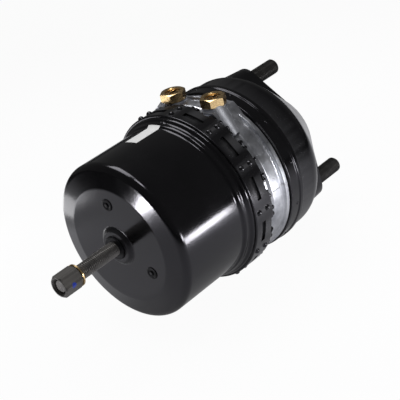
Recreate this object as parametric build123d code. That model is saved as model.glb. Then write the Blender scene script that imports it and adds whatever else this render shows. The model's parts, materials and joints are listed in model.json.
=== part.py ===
from build123d import *
import math
import os

# Air brake chamber, millimetres. X is the push-rod axis and leaves the mounting
# face at x = 0, so the body lies towards -X. Z is up, through the two air ports.
# The chamber is drawn with the release bolt wound out and the push rod retracted.

# driving sizes
CAN_RADIUS = 77.5
CAN_FRONT_X = -237.0
GAP = 0.3
RUNNING_FIT = 0.05

# mounting side
STUD_SPACING = 120.65
STUD_RADIUS = 8.0
STUD_LENGTH = 42.5
STUD_SHANK_RADIUS = STUD_RADIUS + 0.6
STUD_TIP = 1.8
STUD_ANGLE = 61.5
STUD_HEAD_RADIUS = 10.4
STUD_HEAD_HEIGHT = 6.0
FLANGE_RADIUS = 39.0
PAD_RADIUS = 14.5
PAD_DEPTH = 36.0
PAD_TAPER = 4.0
MOUNT_OPENING_RADIUS = 27.0
PLATE_THICKNESS = 6.0

# service housing and its clamp ring
HOUSING_RADIUS = CAN_RADIUS + 5
HOUSING_SHEET = 3.5
CONE_START_X = -49.0
CONE_BEND = 18.0
SERVICE_RIM_X = -87.0
DIAPHRAGM_THICKNESS = 3.0
CLAMP_RING_RADIUS = HOUSING_RADIUS + 2.1
CLAMP_RING_FRONT_X = -92.0
CLAMP_RING_REAR_X = -74.0
DRAIN_RADIUS = 3.5

# release bolt head and the piston tube around it
BOLT_RADIUS = 7.0
BOLT_HEAD_RADIUS = 10.8
HUB_CAVITY_RADIUS = BOLT_HEAD_RADIUS + 1.5
TUBE_WALL = 3.7
TUBE_RADIUS = HUB_CAVITY_RADIUS + TUBE_WALL

# partition casting
SLEEVE_RADIUS = CAN_RADIUS + 3
SLEEVE_BORE_RADIUS = CAN_RADIUS - 3.3
SLEEVE_FRONT_X = -146.0
SHOULDER_FRONT_X = -127.0
SHOULDER_REAR_X = -124.0
WEB_FRONT_X = -123.5
WEB_REAR_X = -113.5
HUB_REAR_X = -108.5
HUB_BORE_RADIUS = TUBE_RADIUS + 3
HUB_RADIUS = HUB_BORE_RADIUS + 5
BODY_RADIUS = SLEEVE_RADIUS + 1
WAIST_RADIUS = BODY_RADIUS - 2.5
LIP_RADIUS = BODY_RADIUS - 2
DISH_RADIUS = BODY_RADIUS - 3.3
DISH_FLOOR_RADIUS = DISH_RADIUS - 14.6
DISH_FLOOR_X = -108.2
SEAL_GROOVE_X = -134.5
SEAL_GROOVE_WIDTH = 4.6
SEAL_GROOVE_RADIUS = SLEEVE_RADIUS - 3.5

# air ports
PORT_X = -107.5
SADDLE_FOOT_ANGLE = math.radians(43.7)
SADDLE_FOOT_RADIUS = WAIST_RADIUS - 2
PORT_HALF_SPACING = 25.3
PORT_BOSS_RADIUS = 12.0
PORT_BOSS_TOP_Z = SLEEVE_RADIUS + 1.5
PORT_SHANK_RADIUS = 8.5
PORT_SHANK_LENGTH = 11.5
PORT_HEX = 22.0
PORT_HEX_HEIGHT = 8.5
PORT_THREAD_RADIUS = 7.25
PASSAGE_RADIUS = 2.5

# spring can
CAN_SHEET = 2.5
CAN_SHOULDER_X = CAN_FRONT_X + 4.5
CAN_STEP_X = -157.5
DISC_RADIUS = CAN_RADIUS - 21.5
COLLAR_RADIUS = 15.5
COLLAR_HEIGHT = 3.6
VENT_CIRCLE_RADIUS = DISC_RADIUS - 15
VENT_ANGLES = (90.0, 210.0, 330.0)
VENT_POCKET_RADIUS = 5.6
VENT_POCKET_DEPTH = 0.9
VENT_HOLE_RADIUS = 3.6

# retaining band
BAND_THICKNESS = 2.2
BAND_FRONT_X = -146.8
BAND_REAR_X = -121.8
BAND_TAB_RADIUS = SLEEVE_RADIUS
BAND_COUNT = 12
BAND_SLOT_X = -136.5
BAND_SLOT_WIDTH = 5.0
BAND_SLOT_ARC = 15.0
PIN_RADIUS = 2.0
PIN_HEAD_RADIUS = 2.9
PIN_HEAD_HEIGHT = 2.2
PIN_ROWS = (-141.0, -129.7)
FIRST_PIN_ANGLE = 2.0

# release bolt
BOLT_HEX = 19.0
BOLT_HEX_OUTER_X = CAN_FRONT_X - 73
BOLT_HEX_INNER_X = CAN_FRONT_X - 53
BOLT_END_X = BOLT_HEX_OUTER_X + 2
BOLT_HEAD_LENGTH = 8.0
WASHER_THICKNESS = 1.4
WASHER_RADIUS = 10.6
BOSS_RADIUS = 11.5
BOSS_FRONT_X = CAN_FRONT_X - 5.6
BOSS_REAR_X = CAN_FRONT_X + 11
BOSS_FLANGE_RADIUS = 22.0

# parking piston
PISTON_FRONT_X = CAN_FRONT_X + 11.7
PISTON_REAR_X = -170.0
PISTON_RIM_RADIUS = CAN_RADIUS - 3
PISTON_SKIRT_RADIUS = SLEEVE_BORE_RADIUS - 2.2
PISTON_WALL = 4.0
PISTON_FLOOR = 5.0
RIM_LENGTH = 16.0
PISTON_HUB_RADIUS = TUBE_RADIUS + 4
PISTON_HUB_FRONT_X = PISTON_REAR_X - 30
HUB_WALL = 8.0
GUIDE_X = PISTON_FRONT_X + 2.5
GUIDE_WIDTH = 3.4
SEAL_X = PISTON_FRONT_X + 10.1
SEAL_WIDTH = 5.2
LAND_DEPTH = 3.0
TUBE_SOCKET = 12.0
TUBE_END_X = -110.0
FOOT_THICKNESS = 2.7
FOOT_SPIGOT = 8.0
THRUST_WASHER_THICKNESS = 3.0

# springs
POWER_WIRE_RADIUS = 5.3
POWER_SPRING_RADIUS = 54.0
POWER_SPRING_TURNS = 4.0
RETURN_WIRE_RADIUS = 2.0
RETURN_SPRING_RADIUS = 35.5
RETURN_SPRING_TURNS = 6.0

# push rod
ROD_RADIUS = 9.0
ROD_TIP_X = 12.0
PLATE_RADIUS = HOUSING_RADIUS - 26.5
PLATE_SHEET = 4.0
PLATE_HUB_RADIUS = 14.0
PLATE_HUB_LENGTH = 10.0
BOOT_THICKNESS = 2.0
BOOT_COLLAR_X = -26.0
BOOT_COLLAR_LENGTH = 6.0
BOOT_RING_THICKNESS = 2.4

# label
LABEL_START_X = CAN_FRONT_X + 46
LABEL_LENGTH = 32.0
LABEL_THICKNESS = 0.3
LABEL_ANGLES = (75.0, 89.0)

CAN_BORE_RADIUS = CAN_RADIUS - CAN_SHEET
SKIRT_RADIUS = SLEEVE_RADIUS + CAN_SHEET
DIAPHRAGM_REST_X = TUBE_END_X + FOOT_THICKNESS + GAP
PLATE_FRONT_X = DIAPHRAGM_REST_X + DIAPHRAGM_THICKNESS + GAP
PLATE_REAR_X = PLATE_FRONT_X + PLATE_SHEET
REINFORCEMENT_REAR_X = -HOUSING_SHEET - PLATE_THICKNESS


def rounded_face(points):
    """Flat face in the XY plane from closed (x, radius, corner rounding) points."""
    corners = []
    for index, (x, radius, bend) in enumerate(points):
        here = Vector(x, radius)
        if bend == 0:
            corners.append((here, here, here))
            continue
        following = points[(index + 1) % len(points)]
        back = (Vector(points[index - 1][0], points[index - 1][1]) - here).normalized()
        ahead = (Vector(following[0], following[1]) - here).normalized()
        half_angle = math.radians(back.get_angle(ahead)) / 2
        reach = bend / math.tan(half_angle)
        middle = here + (back + ahead).normalized() * (bend / math.sin(half_angle) - bend)
        corners.append((here + back * reach, middle, here + ahead * reach))
    edges = []
    for index, (start, middle, end) in enumerate(corners):
        if (end - start).length > 1e-6:
            edges.append(ThreePointArc(start, middle, end))
        following_start = corners[(index + 1) % len(corners)][0]
        if (following_start - end).length > 1e-6:
            edges.append(Line(end, following_start))
    return make_face(edges)


def turned(points):
    """Solid of revolution about the push-rod axis; plain points have sharp corners."""
    full_points = [(*point, 0) if len(point) == 2 else point for point in points]
    return revolve(rounded_face(full_points), Axis.X)


def sheet_points(path, thickness):
    """Closed outline of a bent sheet whose outer side follows the path."""
    inner = []
    for index, (x, radius, bend) in enumerate(path):
        here = Vector(x, radius)
        steps = []
        if index > 0:
            steps.append((here - Vector(path[index - 1][0], path[index - 1][1])).normalized())
        if index < len(path) - 1:
            steps.append((Vector(path[index + 1][0], path[index + 1][1]) - here).normalized())
        normals = [Vector(step.Y, -step.X) for step in steps]
        shift = (normals[0] + normals[-1]) / (1 + normals[0].dot(normals[-1])) * thickness
        turn = steps[0].X * steps[-1].Y - steps[0].Y * steps[-1].X
        inner_bend = max(bend + math.copysign(thickness, turn), 0) if bend > 0 else 0
        inner.append((x + shift.X, radius + shift.Y, inner_bend))
    return list(path) + inner[::-1]


def ring(front_x, rear_x, inner_radius, outer_radius):
    """Plain ring or, with no inner radius, a disc."""
    return turned([(front_x, inner_radius), (rear_x, inner_radius),
                   (rear_x, outer_radius), (front_x, outer_radius)])


def around(solid, angle):
    """The solid turned about the push-rod axis."""
    return Rot(angle, 0, 0) * solid


def round_bar(start, direction, radius, length):
    """Cylinder that starts at a point and runs along a direction."""
    return extrude(Plane(start, z_dir=direction) * Circle(radius), length)


def pad_face(x, centre_radius, pad_radius):
    """Diamond outline of the mounting flange, drawn facing +X, at a given x."""
    half = STUD_SPACING / 2
    slope = math.acos((centre_radius - pad_radius) / half)
    cosine = math.cos(slope)
    sine = math.sin(slope)
    corners = []
    for side_x, side_y in ((1, 1), (-1, 1), (-1, -1), (1, -1)):
        centre_point = (side_x * centre_radius * cosine, side_y * centre_radius * sine)
        pad_point = (side_x * (half + pad_radius * cosine), side_y * pad_radius * sine)
        corners.append((centre_point, pad_point))
    (top_c, top_p), (left_c, left_p), (low_c, low_p), (right_c, right_p) = corners
    edges = [
        Line(top_p, top_c),
        ThreePointArc(top_c, (0, centre_radius), left_c),
        Line(left_c, left_p),
        ThreePointArc(left_p, (-half - pad_radius, 0), low_p),
        Line(low_p, low_c),
        ThreePointArc(low_c, (0, -centre_radius), right_c),
        Line(right_c, right_p),
        ThreePointArc(right_p, (half + pad_radius, 0), top_p),
    ]
    angle = math.radians(STUD_ANGLE)
    along = (0, math.cos(angle), math.sin(angle))
    return Plane((x, 0, 0), x_dir=along, z_dir=(1, 0, 0)) * make_face(edges)


def stud_centres():
    """The two stud positions on the mounting face as (y, z)."""
    angle = math.radians(STUD_ANGLE)
    reach = STUD_SPACING / 2
    return [(side * reach * math.cos(angle), side * reach * math.sin(angle)) for side in (1, -1)]


def can_path():
    front = CAN_FRONT_X
    return [
        (front - COLLAR_HEIGHT, BOSS_RADIUS, 0),
        (front - COLLAR_HEIGHT, COLLAR_RADIUS, 2.6),
        (front, COLLAR_RADIUS + 3, 3),
        (front, DISC_RADIUS, 9),
        (CAN_SHOULDER_X, CAN_RADIUS, 7),
        (CAN_STEP_X, CAN_RADIUS, 3),
        (CAN_STEP_X + 2, CAN_RADIUS + 2.4, 2.8),
        (CAN_STEP_X + 6.5, CAN_RADIUS + 2.4, 3),
        (CAN_STEP_X + 9, SKIRT_RADIUS, 2.8),
        (SHOULDER_FRONT_X, SKIRT_RADIUS, 0),
    ]


def make_spring_can():
    can = turned(sheet_points(can_path(), CAN_SHEET))
    for angle in VENT_ANGLES:
        position = around(Pos(CAN_FRONT_X, VENT_CIRCLE_RADIUS, 0), angle)
        pocket = ring(-1, VENT_POCKET_DEPTH, 0, VENT_POCKET_RADIUS)
        hole = ring(-1, CAN_SHEET + 1, 0, VENT_HOLE_RADIUS)
        can -= position * (pocket + hole)
    return can - pins()


def make_vent_plugs():
    plug = turned([
        (0.1, 0), (0.1, 1.6), (-0.5, 1.6), (-0.5, VENT_POCKET_RADIUS - 1.2, 0.5),
        (VENT_POCKET_DEPTH, VENT_POCKET_RADIUS - 0.9), (VENT_POCKET_DEPTH, VENT_HOLE_RADIUS),
        (CAN_SHEET, VENT_HOLE_RADIUS), (CAN_SHEET, VENT_HOLE_RADIUS + 0.8),
        (CAN_SHEET + 1.6, VENT_HOLE_RADIUS - 0.4), (CAN_SHEET + 1.6, 0),
    ])
    return [around(Pos(CAN_FRONT_X, VENT_CIRCLE_RADIUS, 0), angle) * plug for angle in VENT_ANGLES]


def pin_angles():
    return [FIRST_PIN_ANGLE + 360 / BAND_COUNT * step for step in range(BAND_COUNT)]


def pins():
    """Shanks and domed heads of the pins that lock can, band and partition."""
    seat = SKIRT_RADIUS + BAND_THICKNESS
    top = seat + PIN_HEAD_HEIGHT
    foot = SEAL_GROOVE_RADIUS + 1.6
    dome_radius = (PIN_HEAD_RADIUS**2 + PIN_HEAD_HEIGHT**2) / (2 * PIN_HEAD_HEIGHT)
    half_angle = math.asin(PIN_HEAD_RADIUS / dome_radius) / 2
    dome_point = (dome_radius * math.sin(half_angle), top - dome_radius * (1 - math.cos(half_angle)))
    profile = [
        Line((0, foot), (PIN_RADIUS, foot)),
        Line((PIN_RADIUS, foot), (PIN_RADIUS, seat)),
        Line((PIN_RADIUS, seat), (PIN_HEAD_RADIUS, seat)),
        ThreePointArc((PIN_HEAD_RADIUS, seat), dome_point, (0, top)),
        Line((0, top), (0, foot)),
    ]
    pin = revolve(make_face(profile), Axis.Y)
    return [around(Pos(row_x, 0, 0) * pin, angle) for angle in pin_angles() for row_x in PIN_ROWS]


def sector(front_x, rear_x, inner_radius, outer_radius, middle_angle, arc):
    """Piece of a ring that spans an arc about a middle angle."""
    face = rounded_face([(front_x, inner_radius, 0), (rear_x, inner_radius, 0),
                         (rear_x, outer_radius, 0), (front_x, outer_radius, 0)])
    return around(revolve(face, Axis.X, arc), middle_angle - arc / 2)


def make_band():
    outer = SKIRT_RADIUS + BAND_THICKNESS
    band = turned([
        (BAND_FRONT_X, SKIRT_RADIUS), (SHOULDER_REAR_X, SKIRT_RADIUS),
        (SHOULDER_REAR_X, BAND_TAB_RADIUS), (BAND_REAR_X, BAND_TAB_RADIUS),
        (BAND_REAR_X, outer, 1.8), (BAND_FRONT_X, outer, 1.2),
    ])
    step = 360 / BAND_COUNT
    for angle in pin_angles():
        slot_angle = angle + step / 2
        front = BAND_SLOT_X - BAND_SLOT_WIDTH / 2
        rear = BAND_SLOT_X + BAND_SLOT_WIDTH / 2
        band -= sector(front, rear, SKIRT_RADIUS - 1, outer + 1, slot_angle, BAND_SLOT_ARC)
        band -= sector(SHOULDER_REAR_X - 1.5, BAND_REAR_X + 1, BAND_TAB_RADIUS - 1, outer + 1,
                       slot_angle, step / 2.6)
    return band - pins()


def make_can_seal():
    section_radius = (SLEEVE_RADIUS - SEAL_GROOVE_RADIUS) / 2
    centre = (SEAL_GROOVE_X, SEAL_GROOVE_RADIUS + section_radius)
    return revolve(Pos(*centre) * Circle(section_radius), Axis.X)


def port_positions():
    return [(PORT_X, side * PORT_HALF_SPACING) for side in (1, -1)]


def make_partition():
    rim = HOUSING_RADIUS - 0.2
    body = turned([
        (SLEEVE_FRONT_X, 0), (SLEEVE_FRONT_X, SLEEVE_RADIUS, 0.8),
        (SEAL_GROOVE_X - SEAL_GROOVE_WIDTH / 2, SLEEVE_RADIUS),
        (SEAL_GROOVE_X - SEAL_GROOVE_WIDTH / 2, SEAL_GROOVE_RADIUS),
        (SEAL_GROOVE_X + SEAL_GROOVE_WIDTH / 2, SEAL_GROOVE_RADIUS),
        (SEAL_GROOVE_X + SEAL_GROOVE_WIDTH / 2, SLEEVE_RADIUS),
        (SHOULDER_FRONT_X, SLEEVE_RADIUS), (SHOULDER_FRONT_X, SKIRT_RADIUS),
        (SHOULDER_REAR_X, SKIRT_RADIUS), (SHOULDER_REAR_X, WAIST_RADIUS, 1),
        (SHOULDER_REAR_X + 6, WAIST_RADIUS, 2), (SHOULDER_REAR_X + 9, BODY_RADIUS, 2),
        (CLAMP_RING_FRONT_X - 12, BODY_RADIUS, 1), (CLAMP_RING_FRONT_X - 10.5, WAIST_RADIUS, 1.5),
        (CLAMP_RING_FRONT_X - 7, WAIST_RADIUS, 1.5), (CLAMP_RING_FRONT_X - 5.5, BODY_RADIUS + 0.6, 0.8),
        (CLAMP_RING_FRONT_X - 1.5, BODY_RADIUS + 0.6, 0.8), (CLAMP_RING_FRONT_X - 0.5, LIP_RADIUS),
        (CLAMP_RING_FRONT_X + 2, LIP_RADIUS), (CLAMP_RING_FRONT_X + 2, rim),
        (SERVICE_RIM_X, rim), (SERVICE_RIM_X, 0),
    ])
    cavities = turned([
        (SERVICE_RIM_X, 0), (SERVICE_RIM_X, DISH_RADIUS, 0), (DISH_FLOOR_X, DISH_FLOOR_RADIUS, 6),
        (DISH_FLOOR_X, DISH_FLOOR_RADIUS - 3.6, 2), (WEB_REAR_X, DISH_FLOOR_RADIUS - 9.6, 3),
        (WEB_REAR_X, HUB_RADIUS, 3), (HUB_REAR_X, HUB_RADIUS, 1.5),
        (HUB_REAR_X, TUBE_RADIUS + 0.4), (HUB_REAR_X - 2, TUBE_RADIUS + 0.4),
        (HUB_REAR_X - 2, HUB_BORE_RADIUS), (WEB_FRONT_X, HUB_BORE_RADIUS),
        (WEB_FRONT_X, SLEEVE_BORE_RADIUS, 2), (SLEEVE_FRONT_X, SLEEVE_BORE_RADIUS),
        (SLEEVE_FRONT_X, 0),
    ])
    reach = PORT_HALF_SPACING + PORT_BOSS_RADIUS
    deck_z = BODY_RADIUS - 2
    foot_y = SADDLE_FOOT_RADIUS * math.cos(SADDLE_FOOT_ANGLE)
    foot_z = SADDLE_FOOT_RADIUS * math.sin(SADDLE_FOOT_ANGLE)
    saddle_front = BAND_REAR_X + GAP
    saddle_rear = CLAMP_RING_FRONT_X - GAP
    saddle_outline = Polyline(
        (-foot_y, foot_z), (-reach - 1, deck_z - 3), (-reach + 2, deck_z), (-PORT_BOSS_RADIUS, deck_z),
        (-9, deck_z - 5), (9, deck_z - 5), (PORT_BOSS_RADIUS, deck_z), (reach - 2, deck_z),
        (reach + 1, deck_z - 3), (foot_y, foot_z), close=True)
    saddle_plane = Plane((saddle_front, 0, 0), x_dir=(0, 1, 0), z_dir=(1, 0, 0))
    body += extrude(saddle_plane * make_face(saddle_outline), saddle_rear - saddle_front)
    for port_x, port_y in port_positions():
        body += round_bar((port_x, port_y, 60), (0, 0, 1), PORT_BOSS_RADIUS, PORT_BOSS_TOP_Z - 60)
    body -= cavities
    for port_x, port_y in port_positions():
        floor_z = PORT_BOSS_TOP_Z - PORT_SHANK_LENGTH
        body -= round_bar((port_x, port_y, floor_z), (0, 0, 1), PORT_SHANK_RADIUS, PORT_SHANK_LENGTH)
        body -= round_bar((port_x, port_y, floor_z - 7), (0, 0, 1), PASSAGE_RADIUS * 1.6, 8)
        side = math.copysign(1, port_y)
        body -= round_bar((port_x, port_y, floor_z - 5), (-side, 0, 0), PASSAGE_RADIUS, 24)
    return body - pins()


def hex_bar(across_flats, length, bevel):
    """Hexagon bar along +Z with both end edges turned to a cone."""
    bar = extrude(RegularPolygon(across_flats / 2, 6, major_radius=False), length)
    corner = across_flats / math.sqrt(3)
    flat = across_flats / 2
    edges = Polyline((0, 0), (flat - 0.2, 0), (corner + 0.1, bevel), (corner + 0.1, length - bevel),
                     (flat - 0.2, length), (0, length), close=True)
    cone = revolve(Plane.XZ * make_face(edges), Axis.Z)
    return bar & cone


def make_port_adapters():
    head = Pos(0, 0, PORT_BOSS_TOP_Z) * Rot(0, 0, 30) * hex_bar(PORT_HEX, PORT_HEX_HEIGHT, 1.1)
    floor_z = PORT_BOSS_TOP_Z - PORT_SHANK_LENGTH
    shank = Pos(0, 0, floor_z) * extrude(Circle(PORT_SHANK_RADIUS), PORT_SHANK_LENGTH)
    top_z = PORT_BOSS_TOP_Z + PORT_HEX_HEIGHT
    bore = Pos(0, 0, floor_z) * extrude(Circle(PORT_THREAD_RADIUS), PORT_SHANK_LENGTH + PORT_HEX_HEIGHT)
    mouth = Pos(0, 0, top_z - 0.45) * Cone(PORT_THREAD_RADIUS, PORT_THREAD_RADIUS + 0.9, 0.9)
    adapter = head + shank - bore - mouth
    return [Pos(port_x, port_y, 0) * adapter for port_x, port_y in port_positions()]


def make_tube_seals():
    bore = TUBE_RADIUS + RUNNING_FIT
    front = ring(WEB_FRONT_X + 0.4, WEB_FRONT_X + 3.8, bore, HUB_BORE_RADIUS)
    rear = ring(HUB_REAR_X - 5.4, HUB_REAR_X - 2, bore, HUB_BORE_RADIUS)
    return [front, rear]


def make_tube_bush():
    bore = TUBE_RADIUS + RUNNING_FIT
    return ring(WEB_FRONT_X + 3.8, HUB_REAR_X - 5.4, bore, HUB_BORE_RADIUS)


def make_diaphragm():
    rim = HOUSING_RADIUS - 0.2
    path = [
        (DIAPHRAGM_REST_X, 0, 0), (DIAPHRAGM_REST_X, DISH_FLOOR_RADIUS - 1, 5),
        (SERVICE_RIM_X, DISH_RADIUS - 2, 4), (SERVICE_RIM_X, rim, 0),
    ]
    return turned(sheet_points(path, DIAPHRAGM_THICKNESS))


def housing_path():
    return [
        (SERVICE_RIM_X + DIAPHRAGM_THICKNESS, HOUSING_RADIUS, 0),
        (CONE_START_X, HOUSING_RADIUS, CONE_BEND),
        (0, FLANGE_RADIUS + 1, 5),
        (0, MOUNT_OPENING_RADIUS, 0),
    ]


def make_service_housing():
    path = housing_path()
    outer = turned(path + [(path[0][0], MOUNT_OPENING_RADIUS, 0)])
    outer += extrude(pad_face(0, FLANGE_RADIUS, PAD_RADIUS), PAD_DEPTH, dir=(-1, 0, 0), taper=-PAD_TAPER)
    shell = sheet_points(path, HOUSING_SHEET)[len(path):]
    inner_start_x = path[0][0] - 1
    inner_points = [(inner_start_x, 0, 0), (inner_start_x, shell[-1][1], 0)]
    inner_points += shell[1:-1][::-1] + [(-HOUSING_SHEET, 0, 0)]
    inner = turned(inner_points)
    inner += extrude(pad_face(-HOUSING_SHEET, FLANGE_RADIUS - HOUSING_SHEET, PAD_RADIUS - HOUSING_SHEET),
                     PAD_DEPTH - 2 * HOUSING_SHEET, dir=(-1, 0, 0), taper=-PAD_TAPER)
    housing = outer - inner
    housing -= round_bar((-HOUSING_SHEET - 1, 0, 0), (1, 0, 0), MOUNT_OPENING_RADIUS, HOUSING_SHEET + 2)
    for y, z in stud_centres():
        housing -= round_bar((-HOUSING_SHEET - 1, y, z), (1, 0, 0), STUD_SHANK_RADIUS, HOUSING_SHEET + 2)
    for side in (1, -1):
        housing -= round_bar((-38, side * 22, -60), (0, side * 0.25, -1), DRAIN_RADIUS, 40)
    return housing


def make_clamp_ring():
    front = CLAMP_RING_FRONT_X
    return turned([
        (front, LIP_RADIUS), (front + 2, LIP_RADIUS), (front + 2, HOUSING_RADIUS),
        (CLAMP_RING_REAR_X, HOUSING_RADIUS), (CLAMP_RING_REAR_X, CLAMP_RING_RADIUS, 1.6),
        (CLAMP_RING_REAR_X - 5, CLAMP_RING_RADIUS, 1.5),
        (CLAMP_RING_REAR_X - 6.5, CLAMP_RING_RADIUS - 1, 1.5),
        (front, CLAMP_RING_RADIUS - 1, 1.5),
    ])


def make_reinforcement_plate():
    plate = extrude(pad_face(-HOUSING_SHEET, FLANGE_RADIUS - HOUSING_SHEET - 0.4,
                             PAD_RADIUS - HOUSING_SHEET - 0.4), -PLATE_THICKNESS)
    plate -= round_bar((REINFORCEMENT_REAR_X - 1, 0, 0), (1, 0, 0), MOUNT_OPENING_RADIUS, 12)
    for y, z in stud_centres():
        plate -= round_bar((REINFORCEMENT_REAR_X - 1, y, z), (1, 0, 0), STUD_SHANK_RADIUS, 12)
    return plate


def make_studs():
    stud = turned([
        (REINFORCEMENT_REAR_X - STUD_HEAD_HEIGHT, 0),
        (REINFORCEMENT_REAR_X - STUD_HEAD_HEIGHT, STUD_HEAD_RADIUS, 1),
        (REINFORCEMENT_REAR_X, STUD_HEAD_RADIUS), (REINFORCEMENT_REAR_X, STUD_SHANK_RADIUS),
        (0, STUD_SHANK_RADIUS), (0, STUD_RADIUS), (STUD_LENGTH - STUD_TIP, STUD_RADIUS),
        (STUD_LENGTH, STUD_RADIUS - STUD_TIP), (STUD_LENGTH, 0),
    ])
    return [Pos(0, y, z) * stud for y, z in stud_centres()]


def make_boot():
    outer = MOUNT_OPENING_RADIUS - BOOT_RING_THICKNESS
    collar_front = BOOT_COLLAR_X + BOOT_COLLAR_LENGTH
    return turned([
        (BOOT_COLLAR_X, ROD_RADIUS + RUNNING_FIT), (BOOT_COLLAR_X, ROD_RADIUS + BOOT_THICKNESS + 1, 1),
        (collar_front - BOOT_THICKNESS, ROD_RADIUS + BOOT_THICKNESS + 1, 0.8),
        (-14, 17.5, 2), (-20, 21.5, 2), (REINFORCEMENT_REAR_X, outer, 1),
        (-0.4, outer), (-0.4, outer - BOOT_THICKNESS), (REINFORCEMENT_REAR_X, outer - BOOT_THICKNESS, 1),
        (-16.5, 21, 1), (-10.5, 17.5, 1), (collar_front, ROD_RADIUS + BOOT_THICKNESS + 1, 1.5),
        (collar_front, ROD_RADIUS + RUNNING_FIT),
    ])


def make_boot_ring():
    return ring(REINFORCEMENT_REAR_X, -0.4, MOUNT_OPENING_RADIUS - BOOT_RING_THICKNESS, MOUNT_OPENING_RADIUS)


def make_bolt_boss():
    return turned([
        (BOSS_FRONT_X, BOLT_RADIUS + GAP), (BOSS_FRONT_X, BOSS_RADIUS, 1),
        (CAN_FRONT_X + CAN_SHEET, BOSS_RADIUS), (CAN_FRONT_X + CAN_SHEET, BOSS_FLANGE_RADIUS),
        (BOSS_REAR_X, BOSS_FLANGE_RADIUS, 1), (BOSS_REAR_X, BOLT_RADIUS + GAP),
    ])


def bolt_head_x():
    """Rear and front ends of the bolt head inside the piston hub."""
    front = PISTON_HUB_FRONT_X + HUB_WALL + THRUST_WASHER_THICKNESS + 2 * GAP
    return front, front + BOLT_HEAD_LENGTH


def make_release_bolt():
    front, rear = bolt_head_x()
    return turned([
        (BOLT_END_X, 0), (BOLT_END_X, BOLT_RADIUS - 1.5), (BOLT_END_X + 1.5, BOLT_RADIUS),
        (front, BOLT_RADIUS), (front, BOLT_HEAD_RADIUS, 0.6), (rear, BOLT_HEAD_RADIUS, 1.2), (rear, 0),
    ])


def make_release_hex():
    length = BOLT_HEX_INNER_X - BOLT_HEX_OUTER_X
    nut = Plane((BOLT_HEX_OUTER_X, 0, 0), x_dir=(0, 1, 0), z_dir=(1, 0, 0)) * hex_bar(BOLT_HEX, length, 1.3)
    nut -= ring(BOLT_HEX_OUTER_X - 1, BOLT_HEX_INNER_X + 1, 0, BOLT_RADIUS)
    countersink = turned([
        (BOLT_HEX_OUTER_X - 0.1, 0), (BOLT_HEX_OUTER_X - 0.1, BOLT_RADIUS + 1.3),
        (BOLT_HEX_OUTER_X + 1.3, BOLT_RADIUS - 0.1), (BOLT_HEX_OUTER_X + 1.3, 0),
    ])
    return nut - countersink


def make_bolt_washer():
    return ring(BOLT_HEX_INNER_X, BOLT_HEX_INNER_X + WASHER_THICKNESS, BOLT_RADIUS, WASHER_RADIUS)


def make_thrust_washer():
    front = PISTON_HUB_FRONT_X + HUB_WALL + GAP
    return ring(front, front + THRUST_WASHER_THICKNESS, BOLT_RADIUS + GAP, HUB_CAVITY_RADIUS - GAP)


def make_piston():
    floor_front = PISTON_REAR_X - PISTON_FLOOR
    rim_rear = PISTON_FRONT_X + RIM_LENGTH
    land = PISTON_RIM_RADIUS - LAND_DEPTH
    inner = PISTON_SKIRT_RADIUS - PISTON_WALL
    cavity = HUB_CAVITY_RADIUS
    points = [(PISTON_FRONT_X, inner), (PISTON_FRONT_X, PISTON_RIM_RADIUS)]
    for middle_x, width in ((GUIDE_X, GUIDE_WIDTH), (SEAL_X, SEAL_WIDTH)):
        points += [(middle_x - width / 2, PISTON_RIM_RADIUS), (middle_x - width / 2, land),
                   (middle_x + width / 2, land), (middle_x + width / 2, PISTON_RIM_RADIUS)]
    points += [
        (rim_rear, PISTON_RIM_RADIUS, 0.5), (rim_rear, PISTON_SKIRT_RADIUS),
        (PISTON_REAR_X, PISTON_SKIRT_RADIUS, 5), (PISTON_REAR_X, TUBE_RADIUS),
        (PISTON_REAR_X - TUBE_SOCKET, TUBE_RADIUS), (PISTON_REAR_X - TUBE_SOCKET, cavity),
        (PISTON_HUB_FRONT_X + HUB_WALL, cavity), (PISTON_HUB_FRONT_X + HUB_WALL, BOLT_RADIUS + 1),
        (PISTON_HUB_FRONT_X, BOLT_RADIUS + 1), (PISTON_HUB_FRONT_X, PISTON_HUB_RADIUS, 2),
        (floor_front, PISTON_HUB_RADIUS + 2, 3), (floor_front, inner, 4),
    ]
    return turned(points)


def make_piston_ring(middle_x, width):
    return ring(middle_x - width / 2, middle_x + width / 2,
                PISTON_RIM_RADIUS - LAND_DEPTH, CAN_BORE_RADIUS - RUNNING_FIT)


def make_piston_tube():
    return ring(PISTON_REAR_X - TUBE_SOCKET, TUBE_END_X, HUB_CAVITY_RADIUS, TUBE_RADIUS)


def make_tube_foot():
    end = TUBE_END_X + FOOT_THICKNESS
    return turned([
        (TUBE_END_X - FOOT_SPIGOT, 0), (TUBE_END_X - FOOT_SPIGOT, HUB_CAVITY_RADIUS),
        (TUBE_END_X, HUB_CAVITY_RADIUS), (TUBE_END_X, TUBE_RADIUS - 0.1),
        (end, TUBE_RADIUS - 0.1, 1), (end, 0),
    ])


def coil(start_x, end_x, radius, turns, wire_radius):
    """Helical spring between two wire-centre positions on the push-rod axis."""
    height = end_x - start_x
    path = Helix(height / turns, height, radius)
    section = Plane(path @ 0, z_dir=path % 0) * Circle(wire_radius)
    spring = sweep(section, path=path, is_frenet=True)
    return Plane((start_x, 0, 0), x_dir=(0, 1, 0), z_dir=(1, 0, 0)) * spring


def make_power_spring():
    seat = CAN_FRONT_X + CAN_SHEET + 1
    floor_front = PISTON_REAR_X - PISTON_FLOOR
    clear = POWER_WIRE_RADIUS + GAP
    return coil(seat + clear, floor_front - clear, POWER_SPRING_RADIUS, POWER_SPRING_TURNS, POWER_WIRE_RADIUS)


def make_return_spring():
    clear = RETURN_WIRE_RADIUS + GAP
    return coil(PLATE_REAR_X + clear, REINFORCEMENT_REAR_X - clear, RETURN_SPRING_RADIUS,
                RETURN_SPRING_TURNS, RETURN_WIRE_RADIUS)


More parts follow.
